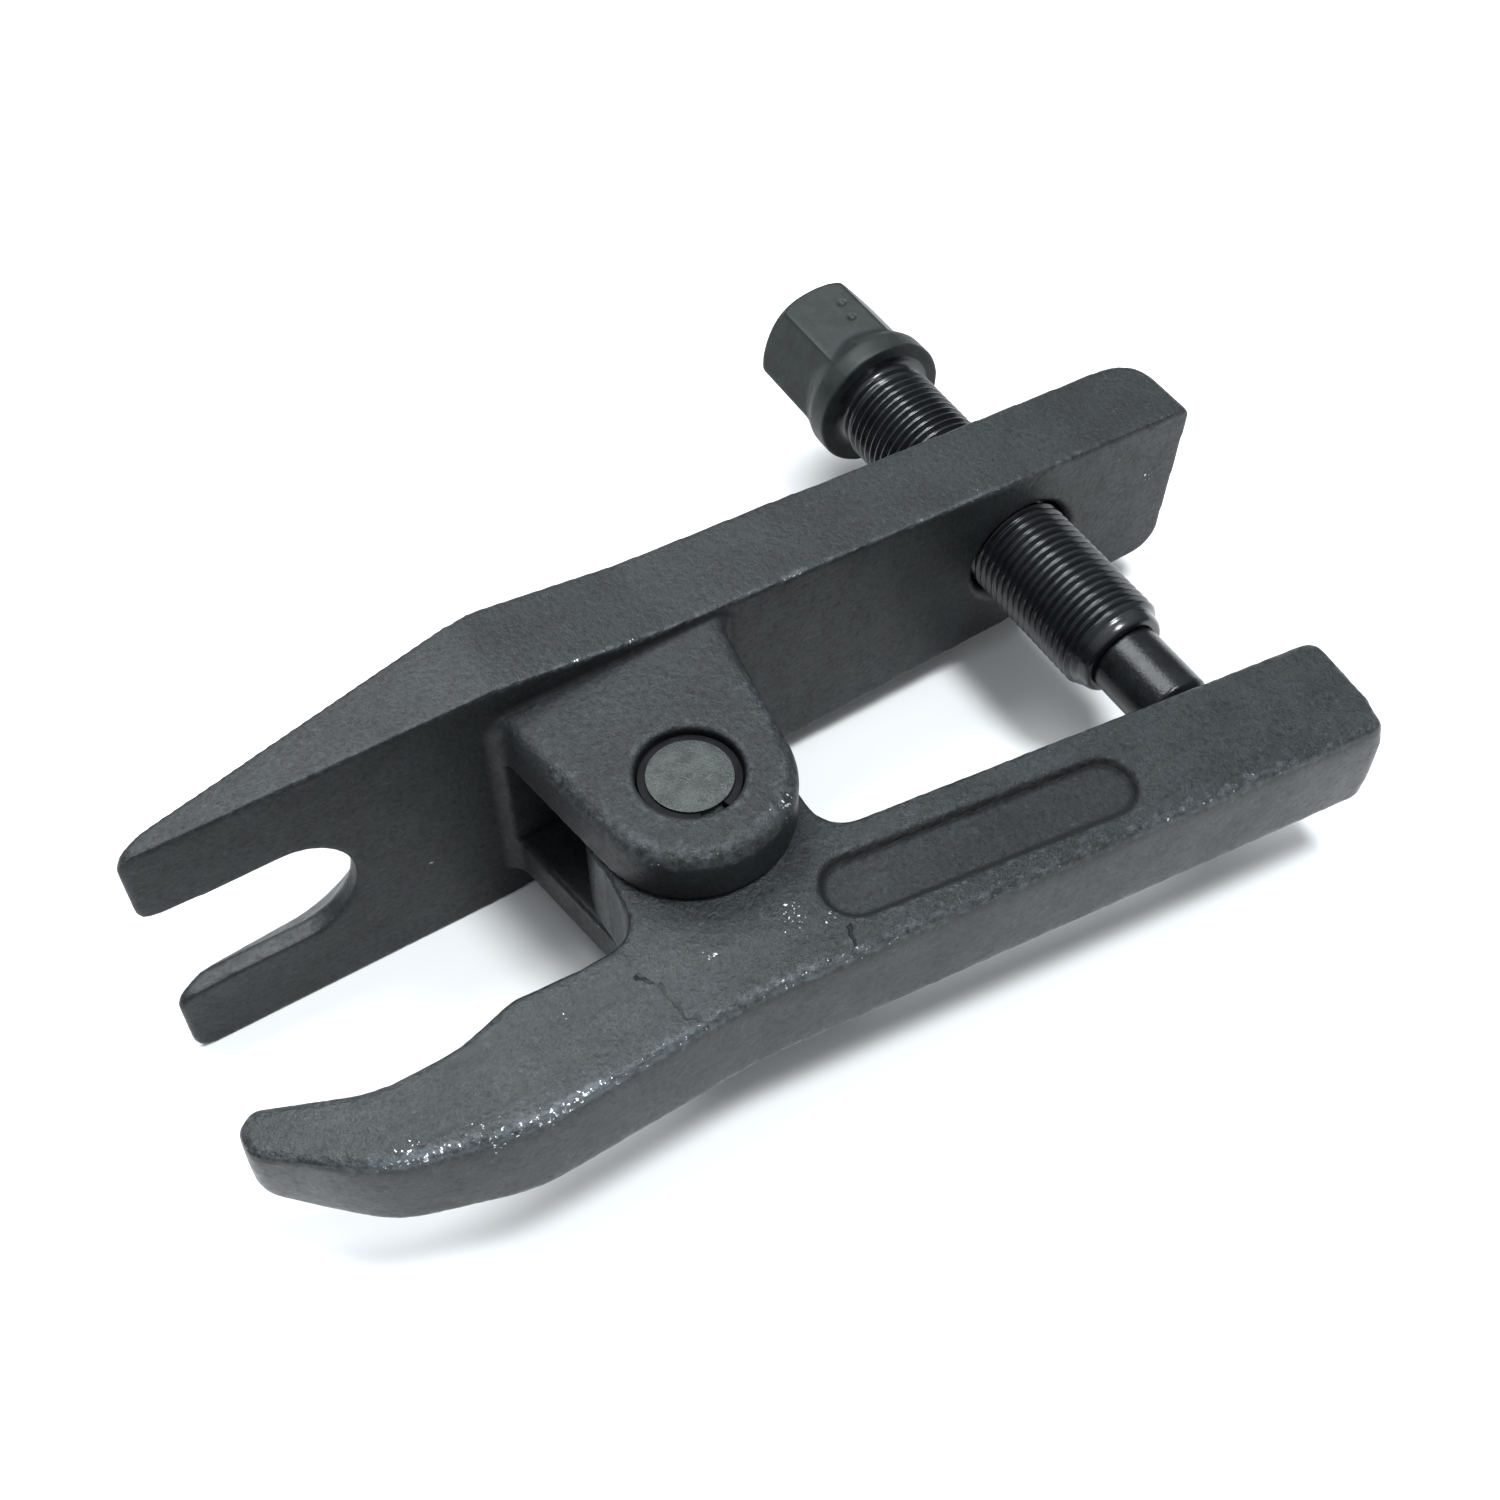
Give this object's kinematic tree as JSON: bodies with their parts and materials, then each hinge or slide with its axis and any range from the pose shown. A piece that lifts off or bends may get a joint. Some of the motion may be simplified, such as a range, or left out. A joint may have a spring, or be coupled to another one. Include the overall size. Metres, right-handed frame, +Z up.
{
  "type": "ball joint separator",
  "caption": "Forged ball joint separator: a slotted fork arm and a curved jaw lever share a clevis pivot, and a hex-headed forcing screw pushes the lever's tail to close the jaw.",
  "frame": {"origin": "middle of the tool's box in plan, at the height of the fork arm's lower edge, with the tool lying on its side", "axes": "+X along the fork arm from the fork tips to the screw end, +Y from the lever to the fork arm and on to the screw's hexagon, +Z up, along the pivot pin"},
  "size_m": [0.1871, 0.129, 0.0505],
  "materials": {
    "fork_arm": "black phosphate over forged steel, satin",
    "lever_arm": "black phosphate over rough forged steel, satin",
    "pivot_pin": "plain turned steel",
    "retaining_rings": "black spring steel",
    "forcing_screw": "oiled black oxide, glossy on the thread",
    "thrust_nose": "dark ground steel, polished by use"
  },
  "bodies": {
    "fork": {"fork_arm": "fork_arm", "pivot_pin": "pivot_pin", "retaining_ring_upper": "retaining_rings", "retaining_ring_lower": "retaining_rings"},
    "lever": {"lever_arm": "lever_arm"},
    "nose": {"thrust_nose": "thrust_nose"},
    "screw": {"forcing_screw": "forcing_screw"}
  },
  "joints": [
    {"name": "screw_travel", "type": "slide", "parent": "fork", "child": "nose", "axis": [0, -1, 0], "range_m": [-0.0225, 0.0165]},
    {"name": "screw_turn", "type": "hinge", "parent": "nose", "child": "screw", "pos_m": [0.06038, -0.02319, 0.02525], "axis": [0, -1, 0], "range_deg": [-5400.5, 3960.5]},
    {"name": "lever_swing", "type": "hinge", "parent": "fork", "child": "lever", "pos_m": [-0.01762, -0.02319, 0.02525], "axis": [0, 0, -1], "range_deg": [-16.2, 11.9]}
  ],
  "couplings": [
    {"joint": "screw_turn", "follows": "screw_travel", "rad_per_m": 4188.8},
    {"joint": "lever_swing", "follows": "screw_travel", "rad_per_m": 12.469}
  ]
}
